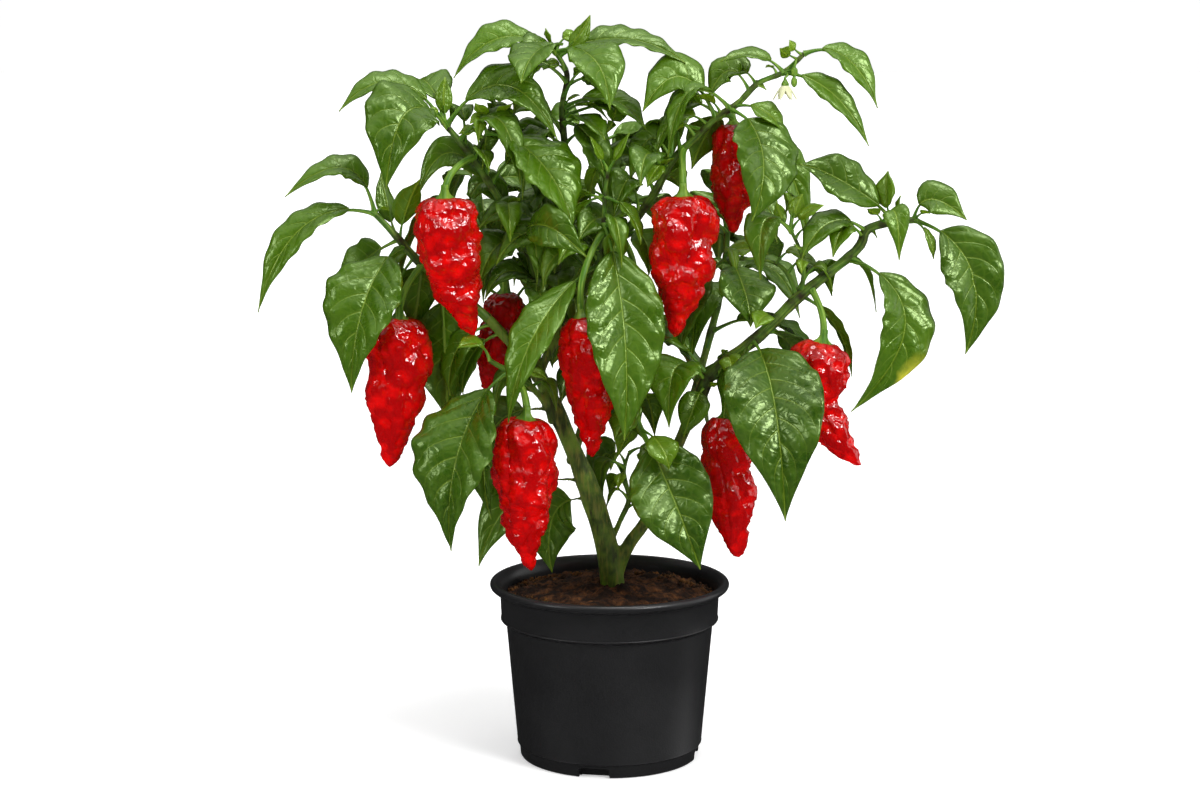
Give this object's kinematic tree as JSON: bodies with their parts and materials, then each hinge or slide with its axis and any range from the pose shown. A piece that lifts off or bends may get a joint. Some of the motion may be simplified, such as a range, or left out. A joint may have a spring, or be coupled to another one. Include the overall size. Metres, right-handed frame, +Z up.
{
  "type": "potted chilli pepper plant",
  "caption": "Chilli pepper plant with ripe wrinkled red fruit, arching leafy stems and a small white flower, growing from dark soil in a round black nursery pot.",
  "frame": {"origin": "centre of the pot's flat underside", "axes": "+Z up; the front of the plant faces -Y, and its longer stem arches towards +X"},
  "size_m": [0.4551, 0.2396, 0.461],
  "materials": {
    "pot_plastic": "semi-matte black moulded polypropylene",
    "soil": null,
    "green_wood": "ridged half-woody stem, green with brown blotches",
    "foliage": "glossy mid-green leaves, veined and puckered, paler underneath; leather stands in for leaf tissue",
    "fruit_skin": "very glossy wrinkled waxy red skin; leather stands in for fruit tissue",
    "petal": "thin matt creamy white petals; leather stands in for petal tissue"
  },
  "bodies": {
    "root": {"pot": "pot_plastic", "soil": "soil", "trunk": "green_wood", "right_stem": "foliage", "left_stem": "foliage", "upper_left_stem": "foliage", "top_stem": "foliage", "upper_right_stem": "foliage", "middle_stem": "foliage", "low_left_stem": "foliage", "low_right_stem": "foliage", "low_shoot": "foliage", "back_left_stem": "foliage", "back_stem": "foliage", "back_right_stem": "foliage", "pepper_1": "fruit_skin", "pepper_2": "fruit_skin", "pepper_3": "fruit_skin", "pepper_4": "fruit_skin", "pepper_5": "fruit_skin", "pepper_6": "fruit_skin", "pepper_7": "fruit_skin", "pepper_8": "fruit_skin", "pepper_9": "fruit_skin", "pepper_10": "fruit_skin", "pepper_11": "fruit_skin", "pepper_12": "fruit_skin", "flower": "petal"}
  },
  "joints": []
}
